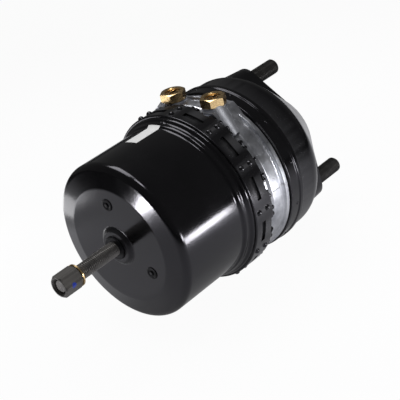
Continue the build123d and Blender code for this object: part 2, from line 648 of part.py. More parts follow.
def make_pressure_plate():
    path = [
        (PLATE_FRONT_X, 0, 0), (PLATE_FRONT_X, PLATE_RADIUS, 5), (PLATE_REAR_X + 5, PLATE_RADIUS, 0),
    ]
    plate = turned(sheet_points(path, PLATE_SHEET))
    return plate + ring(PLATE_REAR_X, PLATE_REAR_X + PLATE_HUB_LENGTH, ROD_RADIUS, PLATE_HUB_RADIUS)


def make_push_rod():
    dome = ROD_RADIUS * 1.6
    rise = dome - math.sqrt(dome**2 - ROD_RADIUS**2)
    edges = [
        Line((PLATE_REAR_X, 0), (PLATE_REAR_X, ROD_RADIUS)),
        Line((PLATE_REAR_X, ROD_RADIUS), (ROD_TIP_X - rise, ROD_RADIUS)),
        ThreePointArc((ROD_TIP_X - rise, ROD_RADIUS),
                      (ROD_TIP_X - dome + math.sqrt(dome**2 - (ROD_RADIUS / 2)**2), ROD_RADIUS / 2),
                      (ROD_TIP_X, 0)),
        Line((ROD_TIP_X, 0), (PLATE_REAR_X, 0)),
    ]
    return revolve(make_face(edges), Axis.X)


def make_label():
    start, end = LABEL_ANGLES
    return sector(LABEL_START_X, LABEL_START_X + LABEL_LENGTH, CAN_RADIUS, CAN_RADIUS + LABEL_THICKNESS,
                  (start + end) / 2, end - start)


def write_part(name, shape):
    """Write one subcomponent, a solid or a group of solids, as a STEP file."""
    solids = []
    for piece in shape if isinstance(shape, list) else [shape]:
        solids.extend(piece.solids())
    whole = solids[0] if len(solids) == 1 else Compound(children=solids)
    export_step(whole, os.path.join("parts", name + ".step"))


def main():
    os.makedirs("parts", exist_ok=True)
    write_part("spring_can", make_spring_can())
    write_part("vent_plugs", make_vent_plugs())
    write_part("bolt_boss", make_bolt_boss())
    write_part("retaining_band", make_band())
    write_part("band_pins", pins())
    write_part("can_seal", make_can_seal())
    write_part("partition", make_partition())
    write_part("port_adapters", make_port_adapters())
    write_part("tube_seals", make_tube_seals())
    write_part("tube_bush", make_tube_bush())
    write_part("service_diaphragm", make_diaphragm())
    write_part("service_housing", make_service_housing())
    write_part("clamp_ring", make_clamp_ring())
    write_part("reinforcement_plate", make_reinforcement_plate())
    write_part("mounting_studs", make_studs())
    write_part("boot", make_boot())
    write_part("boot_ring", make_boot_ring())
    write_part("release_bolt", make_release_bolt())
    write_part("release_hex", make_release_hex())
    write_part("bolt_washer", make_bolt_washer())
    write_part("thrust_washer", make_thrust_washer())
    write_part("parking_piston", make_piston())
    write_part("piston_seal", make_piston_ring(SEAL_X, SEAL_WIDTH))
    write_part("piston_guide_ring", make_piston_ring(GUIDE_X, GUIDE_WIDTH))
    write_part("piston_tube", make_piston_tube())
    write_part("tube_foot", make_tube_foot())
    write_part("power_spring", make_power_spring())
    write_part("return_spring", make_return_spring())
    write_part("pressure_plate", make_pressure_plate())
    write_part("push_rod", make_push_rod())
    write_part("label", make_label())


main()
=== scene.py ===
import json
import math
import bpy
from mathutils import Matrix, Vector
from mathutils.bvhtree import BVHTree


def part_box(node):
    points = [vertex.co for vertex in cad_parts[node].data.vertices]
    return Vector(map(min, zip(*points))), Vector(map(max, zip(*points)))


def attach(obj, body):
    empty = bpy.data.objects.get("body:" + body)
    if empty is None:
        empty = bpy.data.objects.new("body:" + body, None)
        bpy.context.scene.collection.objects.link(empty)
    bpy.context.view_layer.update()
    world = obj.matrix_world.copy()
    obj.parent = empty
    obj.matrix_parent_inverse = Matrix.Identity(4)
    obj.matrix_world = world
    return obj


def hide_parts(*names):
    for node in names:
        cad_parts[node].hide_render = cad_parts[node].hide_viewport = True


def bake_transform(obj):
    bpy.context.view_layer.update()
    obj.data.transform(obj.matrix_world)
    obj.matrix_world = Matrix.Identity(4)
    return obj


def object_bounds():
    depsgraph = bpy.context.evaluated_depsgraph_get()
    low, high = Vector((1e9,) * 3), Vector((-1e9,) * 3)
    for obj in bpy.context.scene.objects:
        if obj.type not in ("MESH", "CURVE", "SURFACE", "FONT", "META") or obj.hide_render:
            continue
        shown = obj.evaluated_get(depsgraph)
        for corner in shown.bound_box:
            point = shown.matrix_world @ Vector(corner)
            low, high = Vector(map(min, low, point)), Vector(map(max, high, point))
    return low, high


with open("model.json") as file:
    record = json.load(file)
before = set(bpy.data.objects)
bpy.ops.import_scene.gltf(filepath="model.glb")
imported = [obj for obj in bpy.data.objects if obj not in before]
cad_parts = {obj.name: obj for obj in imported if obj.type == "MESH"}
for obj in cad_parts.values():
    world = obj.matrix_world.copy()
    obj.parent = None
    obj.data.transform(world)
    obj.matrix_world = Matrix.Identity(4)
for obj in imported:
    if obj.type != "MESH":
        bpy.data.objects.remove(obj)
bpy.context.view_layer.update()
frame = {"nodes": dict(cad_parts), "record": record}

# Everything is in metres, in the row frame: X along the push rod, Z up through the ports.
MM = 0.001

# camera, fitted to the outline of the chamber; angles in degrees
CAMERA_AZIMUTH = -43.1
CAMERA_ELEVATION = 25.3
CAMERA_ROLL = -13.4
CAMERA_DISTANCE = 1.039
CAMERA_TARGET = Vector((-0.116, 0.0, 0.0))
CAMERA_CLIP_START = 0.01
SENSOR_WIDTH = 36.0
FOCAL_IN_IMAGE_WIDTHS = 2.7225
SHIFT_X = -0.016
SHIFT_Y = -0.041

# stage; a share of 1 shows pure white
STAGE_CENTRE = Vector((-0.12, 0.0, 0.0))
FLOOR_GAP = 2 * MM
FLOOR_HALF_WIDTH = 6.0
# painted pool of light on the floor: its colour goes from the pale lit colour to the almost black painted
# shade colour between these distances from the chamber
FLOOR_PAINTED_POOL_REACH = (0.45, 0.85)
FLOOR_PAINTED_LIT_COLOUR = (0.72, 0.72, 0.76)
FLOOR_PAINTED_SHADE_COLOUR = (0.06, 0.06, 0.065)
FLOOR_WHITENESS = 0.96
MIRRORED_FLOOR = 0.25
MIRRORED_SKY = 0.02
AMBIENT_STRENGTH = 0.07

# real sizes that the boxes of the CAD nodes don't give
STUD_SPACING = 120.65 * MM
STUD_RADIUS = 8.0 * MM
STUD_HEAD_RADIUS = 10.4 * MM
STUD_HEAD_HEIGHT = 6.0 * MM
BOLT_RADIUS = 7.0 * MM
BOLT_HEAD_LENGTH = 8.0 * MM
BOLT_HOLE = (-0.239, 0.0, 0.0)
ROD_RADIUS = 9.0 * MM
PORT_BORE_RADIUS = 7.25 * MM
ADAPTER_CORNER_REACH = 12.7 * MM

# threads; crest and flank are shares of half a pitch
COARSE_PITCH = 2.0 * MM
THREAD_DEPTH = 0.58 * COARSE_PITCH
THREAD_CREST = 0.88
THREAD_FLANK = 0.76
THREAD_CHAMFER = 1.6 * MM
THREAD_STEPS = 6
THREAD_SIDES = 40
HEAD_STRAIGHT_SHARE = 0.85
HEAD_FACE_SHARE = 0.88
PORT_PITCH = 1.5 * MM
PORT_THREAD_DEPTH = 0.6 * MM
PORT_THREAD_STEEPNESS = 3.2
PORT_THREAD_CLEARANCE = 0.03 * MM
PORT_THREAD_FOOT = 0.6 * MM
PORT_THREAD_TOP = 1.2 * MM

# barred guard in each port; the bar's outline is in millimetres across and up
GUARD_DEPTH = 1.4 * MM
GUARD_RING_OUTER_GAP = 0.5 * MM
GUARD_RING_INNER_GAP = 1.7 * MM
GUARD_RING_HEIGHT = 0.9 * MM
GUARD_BAR_PLACES = (-2.7 * MM, 2.7 * MM)
GUARD_BAR_SINK = 0.3 * MM
GUARD_BAR_OUTLINE = ((-0.8, 0.1), (-0.8, 0.9), (-0.5, 1.2), (0.5, 1.2), (0.8, 0.9), (0.8, 0.1))

# springs: radius of the coil, turns, body of the moving end, whether the end near the bolt is the fixed one
SPRINGS = {
    "power_spring": (54.0 * MM, 4.0, "parking_piston", True),
    "return_spring": (35.5 * MM, 6.0, "push_rod", False),
}
SPRING_WIRE_SIDES = 12
SPRING_STEPS_PER_TURN = 48
END_TURN_FLATNESS = 0.75

# mesh detail, and a radius outside the whole chamber
CURVE_STEPS = 8
RING_SIDES = 96
RAY_START = 0.2

# diaphragm; foot points are in millimetres behind its front and out from the wall's foot,
# top points in millimetres before its rim and out from the wall's top
DIAPHRAGM_THICKNESS = 3.0 * MM
DIAPHRAGM_CENTRE_RADIUS = 0.4 * MM
DIAPHRAGM_FOOT_INSET = 21.0 * MM
DIAPHRAGM_FOOT_POINTS = ((0, -9), (0, -4), (0.7, 0), (5, 4.5))
DIAPHRAGM_TOP_INSET = 7.0 * MM
DIAPHRAGM_TOP_POINTS = ((5, -4), (0.9, 0), (0, 3))

# boot; folds are in millimetres past its collar and out from the rod, places are past the collar
BOOT_SIDES = 72
BOOT_THICKNESS = 1.7 * MM
BOOT_ROD_CLEARANCE = 0.05 * MM
BOOT_COLLAR_START = 1 * MM
BOOT_COLLAR_LENGTH = 4.5 * MM
BOOT_FOLDS = ((6.5, 3.0), (3.5, 5.6), (9.5, 8.0), (5.5, 10.8))
BOOT_SHOULDER_PLACE = 12.5 * MM
BOOT_SHOULDER_INSET = 3.2 * MM
BOOT_SLEEVE_PLACE = 14.5 * MM
BOOT_RIM_LENGTH = 4 * MM

# raised parting lines of the casting; the profile is in millimetres across and out
FLASH_ANGLES = (177.5, -2.5)
FLASH_STEPS = 60
FLASH_PROFILE = ((-0.9, -0.25), (-0.3, 0.32), (0.3, 0.32), (0.9, -0.25))
FLASH_FRONT_GAP = 0.4 * MM
FLASH_REAR_GAP = 0.3 * MM

# low domed spots, as shares of their radius and of their height
DOME_SIDES = 14
DOME_ROWS = ((1.0, -0.3), (1.0, 0.15), (0.86, 0.55), (0.55, 0.88))

# punch marks on the clamp ring
STAKE_ANGLES = range(17, 377, 30)
STAKE_SETBACK = 9 * MM
STAKE_SINK = 1 * MM
STAKE_RADIUS = 1.5 * MM
STAKE_HEIGHT = 0.7 * MM

# lumps along the rear edge of the retaining band, a little uneven in angle (degrees) and place
CRIMP_COUNT = 45
CRIMP_SPACING = 8
CRIMP_SWAY = 2.5
CRIMP_SWAY_RATE = 2.3
CRIMP_SHIFT = 0.5 * MM
CRIMP_SHIFT_RATE = 1.7
CRIMP_SINK = 3.2 * MM
CRIMP_RADIUS = 2.6 * MM
CRIMP_HEIGHT = 3.3 * MM

# vent plugs in the can's end; the profile is in millimetres from the end's face and from the plug's axis
VENT_CIRCLE_RADIUS = 41.0 * MM
VENT_ANGLES = (90.0, 210.0, 330.0)
VENT_FACE = 0.5 * MM
VENT_PROFILE = ((0.9, 0.0), (0.9, 4.7), (-0.1, 5.9), (-0.7, 5.8), (-1.1, 4.9), (-1.0, 3.8), (-0.3, 3.1),
                (-0.3, 2.3), (-1.3, 1.9), (-1.6, 1.2), (-1.7, 0.0))

# label: range along X, range of angle in degrees, lower and upper face above the paint, grid
LABEL_X = (-0.1875, -0.1555)
LABEL_ANGLES = (79.5, 90.5)
LABEL_FACES = (0.02 * MM, 0.3 * MM)
LABEL_COLUMNS = 12
LABEL_ROWS = 8

# tapered round columns under the ports
PORT_COLUMN_TOP_RADIUS = 10.6 * MM
PORT_COLUMN_FOOT_RADIUS = 4.6 * MM
PORT_COLUMN_FOOT_ANGLE = 47.0
PORT_COLUMN_LEAN = 10.0 * MM
PORT_COLUMN_SPREAD = 1.6 * MM
PORT_COLUMN_TOP = 7.6 * MM
PORT_COLUMN_STEPS = 14
PORT_COLUMN_SIDES = 32

# rounded edges of heavy and of thin pieces, and the angle from which an edge counts as one
HEAVY_EDGE = 0.5 * MM
THIN_EDGE = 0.35 * MM
EDGE_SEGMENTS = 2
EDGE_ANGLE = 38
SHARP_ANGLE = 35.0
ROUND_PIECE_ANGLE = 50.0
WIRE_ANGLE = 60.0
FLASH_EDGE_ANGLE = 40.0

# colours that several finishes share, and the inspection paint on the hexagon
PAINT_TINT = (0.92, 0.9, 1.0, 1.0)
DUST = (0.03, 0.03, 0.031)
WORN_PAINT = (0.05, 0.05, 0.053)
MATT = (0.5, 0.5, 0.5)
MATT_REACH = (16 * MM, 21 * MM)
RUBBED_STEEL = (0.20, 0.19, 0.18)
INSPECTION_BLUE = (0.03, 0.06, 0.45)
INSPECTION_REACH = (2.4 * MM, 2.9 * MM)
HEX_PAINT_SPOT = (-0.301, -0.0094, -0.0006)


# ---------------------------------------------------------------- node materials

class Shader:
    """A Principled material with short calls for the nodes that feed it."""

    def __init__(self, name):
        self.material = bpy.data.materials.new(name)
        self.material.use_nodes = True
        self.nodes = self.material.node_tree.nodes
        self.links = self.material.node_tree.links
        self.surface = self.nodes["Principled BSDF"]
        self.position = self.nodes.new("ShaderNodeTexCoord").outputs["Object"]

    def set(self, **sockets):
        for name, value in sockets.items():
            self.surface.inputs[name.replace("_", " ")].default_value = value

    def link(self, output, socket):
        self.links.new(output, self.surface.inputs[socket])

    def stretched(self, scale):
        """Position scaled by a factor for each axis, which turns a noise into lines."""
        node = self.nodes.new("ShaderNodeMapping")
        node.inputs["Scale"].default_value = scale
        self.links.new(self.position, node.inputs["Vector"])
        return node.outputs["Vector"]

    def noise(self, scale, detail=4.0, roughness=0.55, vector=None):
        """Cloudy pattern; scale is in cells per metre."""
        node = self.nodes.new("ShaderNodeTexNoise")
        node.inputs["Scale"].default_value = scale
        node.inputs["Detail"].default_value = detail
        node.inputs["Roughness"].default_value = roughness
        self.links.new(vector or self.position, node.inputs["Vector"])
        return node.outputs["Fac"]

    def reach(self, point, low, high):
        """1 near a point of the row frame, falling to 0 between two distances."""
        node = self.nodes.new("ShaderNodeVectorMath")
        node.operation = "DISTANCE"
        self.links.new(self.position, node.inputs[0])
        node.inputs[1].default_value = point
        return self.span(node.outputs["Value"], 1.0, 0.0, low, high)

    def ramp(self, factor, *stops):
        """Colour from a factor, through (place, colour) stops."""
        node = self.nodes.new("ShaderNodeValToRGB")
        elements = node.color_ramp.elements
        while len(elements) < len(stops):
            elements.new(0.5)
        for element, (place, colour) in zip(elements, stops):
            element.position = place
            element.color = (*colour, 1.0)
        self.links.new(factor, node.inputs["Fac"])
        return node.outputs["Color"]

    def span(self, factor, low, high, start=0.0, end=1.0):
        """Factor that goes from low at start to high at end."""
        node = self.nodes.new("ShaderNodeMapRange")
        node.inputs["From Min"].default_value = start
        node.inputs["From Max"].default_value = end
        node.inputs["To Min"].default_value = low
        node.inputs["To Max"].default_value = high
        self.links.new(factor, node.inputs["Value"])
        return node.outputs["Result"]

    def mix(self, factor, first, second):
        """First where the factor is 0 and second where it is 1; each is a socket or a colour."""
        node = self.nodes.new("ShaderNodeMix")
        node.data_type = "RGBA"
        self.links.new(factor, node.inputs["Factor"])
        for value, socket in ((first, node.inputs["A"]), (second, node.inputs["B"])):
            if isinstance(value, bpy.types.NodeSocket):
                self.links.new(value, socket)
            else:
                socket.default_value = (*value, 1.0)
        return node.outputs["Result"]

    def edges(self, low, high):
        """0 on flat faces and 1 on convex edges, between two degrees of pointiness."""
        pointiness = self.nodes.new("ShaderNodeNewGeometry").outputs["Pointiness"]
        return self.span(pointiness, 0.0, 1.0, low, high)

    def roughness(self, pattern, low, high):
        """Roughness that varies with a pattern between two values."""
        self.link(self.span(pattern, low, high, 0.3, 0.7), "Roughness")

    def bump(self, height, strength, distance):
        """Adds relief on top of any that the surface already has."""
        node = self.nodes.new("ShaderNodeBump")
        node.inputs["Strength"].default_value = strength
        node.inputs["Distance"].default_value = distance
        self.links.new(height, node.inputs["Height"])
        previous = self.surface.inputs["Normal"].links
        if previous:
            self.links.new(previous[0].from_socket, node.inputs["Normal"])
        self.link(node.outputs["Normal"], "Normal")


def black_paint(name, shade, roughness, specular, peel, matt_spot=None):
    """Black coating on pressed steel: faint orange peel, dust and slightly worn edges."""
    paint = Shader(name)
    cloud = paint.noise(scale=28.0, detail=3.0)
    dust = paint.noise(scale=900.0, detail=2.0, roughness=0.7)
    colour = paint.ramp(cloud, (0.3, (shade, shade, shade * 1.1)),
                        (0.75, (shade * 1.5, shade * 1.45, shade * 1.6)))
    colour = paint.mix(paint.span(dust, low=0.0, high=0.5, start=0.66, end=0.8), colour, DUST)
    colour = paint.mix(paint.edges(0.54, 0.66), colour, WORN_PAINT)
    paint.link(colour, "Base Color")
    gloss = paint.span(paint.noise(scale=60.0, detail=5.0), *roughness, start=0.3, end=0.7)
    if matt_spot:
        gloss = paint.mix(paint.reach(matt_spot, *MATT_REACH), gloss, MATT)
    paint.link(gloss, "Roughness")
    paint.set(Specular_IOR_Level=specular, Specular_Tint=PAINT_TINT)
    paint.bump(paint.noise(scale=650.0, detail=2.0), strength=peel, distance=0.1 * MM)
    return paint.material


def cast_aluminium(name, roughness):
    """Die-cast skin with fine grain, flow marks and a little grey staining."""
    metal = Shader(name)
    stain = metal.noise(scale=45.0, detail=6.0, roughness=0.62)
    colour = metal.ramp(stain, (0.25, (0.32, 0.33, 0.36)), (0.5, (0.54, 0.55, 0.59)),
                        (0.8, (0.74, 0.75, 0.79)))
    grain = metal.noise(scale=800.0, detail=2.0)
    colour = metal.mix(metal.span(grain, low=0.0, high=0.35, start=0.55, end=0.8), colour, (0.26, 0.27, 0.29))
    metal.link(colour, "Base Color")
    metal.set(Metallic=1.0)
    metal.roughness(metal.noise(scale=120.0, detail=5.0), *roughness)
    metal.bump(metal.noise(scale=500.0), strength=0.2, distance=0.2 * MM)
    metal.bump(metal.noise(scale=70.0, detail=3.0), strength=0.12, distance=0.6 * MM)
    return metal.material


def turned_metal(name, bright, dark, roughness, line_scale):
    """Machined metal whose fine tool lines follow the turning."""
    metal = Shader(name)
    lines = metal.noise(scale=1.0, detail=3.0, roughness=0.6, vector=metal.stretched(line_scale))
    tarnish = metal.noise(scale=70.0, detail=5.0)
    metal.link(metal.ramp(tarnish, (0.3, dark), (0.62, bright)), "Base Color")
    metal.set(Metallic=1.0)
    metal.roughness(lines, *roughness)
    metal.bump(lines, strength=0.18, distance=0.08 * MM)
    return metal.material


def phosphate(name, shade=1.0, paint_spot=None):
    """Dark phosphated steel, rubbed on its edges; it may carry a dab of blue inspection paint."""
    metal = Shader(name)
    grain = metal.noise(scale=1400.0, detail=3.0, roughness=0.7)
    cloud = metal.noise(scale=90.0)
    colour = metal.ramp(cloud, (0.3, (0.030 * shade, 0.029 * shade, 0.028 * shade)),
                        (0.7, (0.075 * shade, 0.072 * shade, 0.070 * shade)))
    colour = metal.mix(metal.edges(0.52, 0.62), colour, RUBBED_STEEL)
    if paint_spot:
        colour = metal.mix(metal.reach(paint_spot, *INSPECTION_REACH), colour, INSPECTION_BLUE)
    metal.link(colour, "Base Color")
    metal.set(Metallic=0.55, Specular_IOR_Level=0.4)
    metal.roughness(grain, 0.32, 0.5)
    metal.bump(grain, strength=0.25, distance=0.06 * MM)
    return metal.material


def rubber(name, shade):
    """Moulded black rubber with a dull bloom."""
    soft = Shader(name)
    bloom = soft.noise(scale=55.0, detail=5.0)
    colour = soft.ramp(bloom, (0.35, (shade, shade, shade)), (0.75, (shade * 2.0, shade * 2.0, shade * 2.1)))
    soft.link(colour, "Base Color")
    soft.roughness(bloom, 0.5, 0.7)
    soft.bump(soft.noise(scale=1600.0, detail=2.0), strength=0.2, distance=0.08 * MM)
    return soft.material


def plastic(name, light, dark):
    """Natural plastic with slight mottling."""
    moulded = Shader(name)
    moulded.link(moulded.ramp(moulded.noise(scale=60.0), (0.3, dark), (0.7, light)), "Base Color")
    moulded.roughness(moulded.noise(scale=200.0, detail=3.0), 0.35, 0.5)
    moulded.bump(moulded.noise(scale=900.0, detail=2.0), strength=0.1, distance=0.06 * MM)
    return moulded.material


# one look for each slot of the record
LOOKS = {
    "gloss_black": black_paint("gloss_black_look", shade=0.003, roughness=(0.11, 0.17), specular=0.43,
                               peel=0.3, matt_spot=BOLT_HOLE),
    "satin_black": black_paint("satin_black_look", shade=0.004, roughness=(0.14, 0.24),
                               specular=0.45, peel=0.1),
    "housing_black": black_paint("housing_black_look", shade=0.003, roughness=(0.12, 0.2),
                                 specular=0.36, peel=0.12),
    "cast_aluminium": cast_aluminium("cast_aluminium_look", roughness=(0.26, 0.44)),
    "brass": turned_metal("brass_look", bright=(0.80, 0.58, 0.30), dark=(0.62, 0.43, 0.20),
                          roughness=(0.16, 0.32), line_scale=(300, 300, 2600)),
    "black_phosphate": phosphate("black_phosphate_look", shade=0.7),
    "dark_steel": turned_metal("dark_steel_look", bright=(0.05, 0.05, 0.055), dark=(0.025, 0.025, 0.03),
                               roughness=(0.35, 0.5), line_scale=(2200, 200, 200)),
    "plain_steel": turned_metal("plain_steel_look", bright=(0.55, 0.55, 0.56), dark=(0.36, 0.36, 0.37),
                                roughness=(0.2, 0.38), line_scale=(2600, 150, 150)),
    "piston_aluminium": turned_metal("piston_look", bright=(0.62, 0.63, 0.64), dark=(0.45, 0.46, 0.47),
                                     roughness=(0.3, 0.45), line_scale=(1800, 150, 150)),
    "spring_paint": black_paint("spring_paint_look", shade=0.02, roughness=(0.3, 0.45),
                                specular=0.4, peel=0.1),
    "black_rubber": rubber("black_rubber_look", shade=0.012),
    "diaphragm_rubber": rubber("diaphragm_rubber_look", shade=0.016),
    "bush_plastic": plastic("bush_plastic_look", light=(0.72, 0.69, 0.60), dark=(0.60, 0.57, 0.48)),
    "blank_label": plastic("blank_label_look", light=(0.97, 0.97, 0.97), dark=(0.93, 0.93, 0.93)),
}

# looks of single pieces that are duller, lighter or marked in another way than the rest of their slot
HEX_LOOK = phosphate("hex_look", shade=0.8, paint_spot=HEX_PAINT_SPOT)
BOSS_LOOK = black_paint("boss_look", shade=0.004, roughness=(0.45, 0.6), specular=0.15, peel=0.1)
VENT_LOOK = black_paint("vent_look", shade=0.004, roughness=(0.35, 0.5), specular=0.12, peel=0.1)
COLUMN_LOOK = cast_aluminium("column_look", roughness=(0.45, 0.6))
BOLT_LOOK = phosphate("bolt_look", shade=3.4)
NODE_LOOKS = {"release_hex": HEX_LOOK, "bolt_boss": BOSS_LOOK}


def paint_frame():
    """Give every CAD node its own look, or else the look of its slot in the record."""
    for entry in frame["record"]["subparts"]:
        node = frame["nodes"][entry["node"]]
        look = NODE_LOOKS.get(entry["node"], LOOKS[entry["material_slot"]])
        if not node.material_slots:
            node.data.materials.append(look)
        for material_slot in node.material_slots:
            material_slot.material = look


def soften(width, *names):
    """Small rounded edges on CAD nodes, as pressed or machined metal has."""
    for name in names:
        bevel = frame["nodes"][name].modifiers.new("rounded_edges", "BEVEL")
        bevel.width = width
        bevel.segments = EDGE_SEGMENTS
        bevel.limit_method = "ANGLE"
        bevel.angle_limit = math.radians(EDGE_ANGLE)


# ---------------------------------------------------------------- mesh helpers

def finish_mesh(name, vertices, faces, slot, body, sharp_angle=SHARP_ANGLE, look=None):
    """Object from vertices and faces, smooth up to an edge angle; it rides on a body, if one is given."""
    mesh = bpy.data.meshes.new(name)
    mesh.from_pydata(vertices, [], faces)
    mesh.validate()
    mesh.shade_smooth()
    mesh.set_sharp_from_angle(angle=math.radians(sharp_angle))
    mesh.materials.append(look or LOOKS[slot])
    piece = bpy.data.objects.new(name, mesh)
    bpy.context.scene.collection.objects.link(piece)
    if body:
        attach(piece, body)
    return piece


def link_rows(first, second, sides):
    """Quads between two rings of vertices, given by the index of their first vertex."""
    return [(first + side, second + side, second + (side + 1) % sides, first + (side + 1) % sides)
            for side in range(sides)]


def ring_faces(rows, sides, closed=False):
    """Quads between neighbouring rows of a turned surface."""
    last = rows if closed else rows - 1
    return [face for row in range(last) for face in link_rows(row * sides, (row + 1) % rows * sides, sides)]


def round_point(x, radius, angle, centre=(0.0, 0.0)):
    """Point at a radius and an angle about an axis along X; angle 0 is +Y."""
    return (x, centre[0] + radius * math.cos(angle), centre[1] + radius * math.sin(angle))


def outward_at(angle):
    """Direction away from the push-rod axis at an angle."""
    return Vector((0, math.cos(angle), math.sin(angle)))


def circle(x, radius, sides, centre=(0.0, 0.0)):
    """Ring of points about an axis along X."""
    return [round_point(x, radius, 2 * math.pi * side / sides, centre) for side in range(sides)]


def turned_profile(profile, sides=RING_SIDES):
    """Vertices and faces of a closed (x, radius) outline turned about the push-rod axis."""
    vertices = [point for x, radius in profile for point in circle(x, radius, sides)]
    return vertices, ring_faces(len(profile), sides, closed=True)


def smooth_path(points, steps):
    """Catmull-Rom curve through (x, radius) points."""
    curve = []
    for index in range(len(points) - 1):
        before = Vector(points[max(index - 1, 0)])
        start, end = Vector(points[index]), Vector(points[index + 1])
        after = Vector(points[min(index + 2, len(points) - 1)])
        for step in range(steps):
            t = step / steps
            slope = (end - before) * t
            bend = (2 * before - 5 * start + 4 * end - after) * t * t
            twist = (3 * start - before - 3 * end + after) * t ** 3
            curve.append(0.5 * (2 * start + slope + bend + twist))
    curve.append(Vector(points[-1]))
    return curve


def sheet_outline(curve, thickness):
    """Closed outline of a thin wall about a curve in the (x, radius) plane."""
    sides = ([], [])
    for index, point in enumerate(curve):
        along = curve[min(index + 1, len(curve) - 1)] - curve[max(index - 1, 0)]
        across = Vector((-along.y, along.x)).normalized() * thickness / 2
        sides[0].append(point + across)
        sides[1].append(point - across)
    return [tuple(point) for point in sides[0] + sides[1][::-1]]


def threaded_rod(name, start, end, radius, slot, body, head, centre=(0.0, 0.0), look=None):
    """Rod along X with a right-hand thread, a chamfer at its end and a (length, radius) head at its start."""
    steps = int(abs(end - start) / COARSE_PITCH * THREAD_STEPS)
    places = [start + (end - start) * step / steps for step in range(steps + 1)]
    vertices = []
    for place in places:
        for side in range(THREAD_SIDES):
            angle = 2 * math.pi * side / THREAD_SIDES
            phase = (place / COARSE_PITCH - angle / (2 * math.pi)) % 1.0
            groove = abs(phase - 0.5) * 2.0
            surface = radius - THREAD_DEPTH * max(0.0, min(1.0, (THREAD_CREST - groove) / THREAD_FLANK))
            chamfer = radius - THREAD_CHAMFER + abs(end - place)
            vertices.append(round_point(place, min(surface, chamfer), angle, centre))
    faces = ring_faces(len(places), THREAD_SIDES)
    last_row = len(places) - 1

    length, head_radius = head
    outward = math.copysign(length, start - end)
    first_row = 0
    for place, wide in ((start, head_radius), (start + outward * HEAD_STRAIGHT_SHARE, head_radius),
                        (start + outward, head_radius * HEAD_FACE_SHARE)):
        faces += [tuple(reversed(face)) for face in
                  link_rows(len(vertices), first_row * THREAD_SIDES, THREAD_SIDES)]
        first_row = len(vertices) // THREAD_SIDES
        vertices += circle(place, wide, THREAD_SIDES, centre)
    for place, row in ((start + outward, first_row), (end, last_row)):
        vertices.append((place, *centre))
        hub = len(vertices) - 1
        base = row * THREAD_SIDES
        faces += [(base + side, base + (side + 1) % THREAD_SIDES, hub) for side in range(THREAD_SIDES)]
    return finish_mesh(name, vertices, faces, slot, body, ROUND_PIECE_ANGLE, look)


def tree_of(name):
    """Search tree of a CAD node's surface, in the row frame."""
    node = frame["nodes"][name]
    matrix = node.matrix_world
    corners = [matrix @ vertex.co for vertex in node.data.vertices]
    return BVHTree.FromPolygons(corners, [tuple(face.vertices) for face in node.data.polygons])


def surface_radius(tree, x, angle):
    """Radius of a CAD surface about the push-rod axis at one place and angle, found by a ray from outside."""
    outward = outward_at(angle)
    hit = tree.ray_cast(Vector((x, 0, 0)) + outward * RAY_START, -outward)[0]
    return hit.yz.length


def dome_cap(vertices, faces, base, outward, along, radius, height):
    """Adds a low domed spot that stands on a point of a surface."""
    across = outward.cross(along)
    first = len(vertices)
    for share, rise in DOME_ROWS:
        for side in range(DOME_SIDES):
            turn = 2 * math.pi * side / DOME_SIDES
            ring_place = (along * math.cos(turn) + across * math.sin(turn)) * radius * share
            vertices.append(tuple(base + ring_place + outward * height * rise))
    vertices.append(tuple(base + outward * height))
    for row in range(len(DOME_ROWS) - 1):
        faces += link_rows(first + row * DOME_SIDES, first + (row + 1) * DOME_SIDES, DOME_SIDES)
    top = first + (len(DOME_ROWS) - 1) * DOME_SIDES
    faces += [(top + side, len(vertices) - 1, top + (side + 1) % DOME_SIDES) for side in range(DOME_SIDES)]


# ---------------------------------------------------------------- pieces

def stud_centres():
    """(y, z) of both studs, the upper one first."""
    low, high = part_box("mounting_studs")
    rise = high[2] - low[2] - 2 * STUD_HEAD_RADIUS
    run = high[1] - low[1] - 2 * STUD_HEAD_RADIUS
    angle = math.atan2(rise, run)
    reach = STUD_SPACING / 2
    return [(side * reach * math.cos(angle), side * reach * math.sin(angle)) for side in (1, -1)]


def build_studs():
    """Two threaded studs with round heads inside the housing."""
    low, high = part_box("mounting_studs")
    for name, centre in zip(("mounting_stud_upper", "mounting_stud_lower"), stud_centres()):
        stud = threaded_rod(name, low[0] + STUD_HEAD_HEIGHT, high[0], STUD_RADIUS, "black_phosphate",
                            "chamber", (STUD_HEAD_HEIGHT, STUD_HEAD_RADIUS), centre)
        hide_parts("mounting_studs")


def build_release_bolt():
    """Release bolt with its thread and the round head that holds the piston."""
    low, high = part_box("release_bolt")
    head = (BOLT_HEAD_LENGTH, (high[1] - low[1]) / 2)
    bolt = threaded_rod("release_bolt_thread", high[0] - BOLT_HEAD_LENGTH, low[0], BOLT_RADIUS,
                        "black_phosphate", "release_bolt", head, look=BOLT_LOOK)
    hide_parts("release_bolt")


def smooth_share(share):
    """Share that starts and ends gently, as the pitch of a closed spring does."""
    return share * share * (3 - 2 * share)


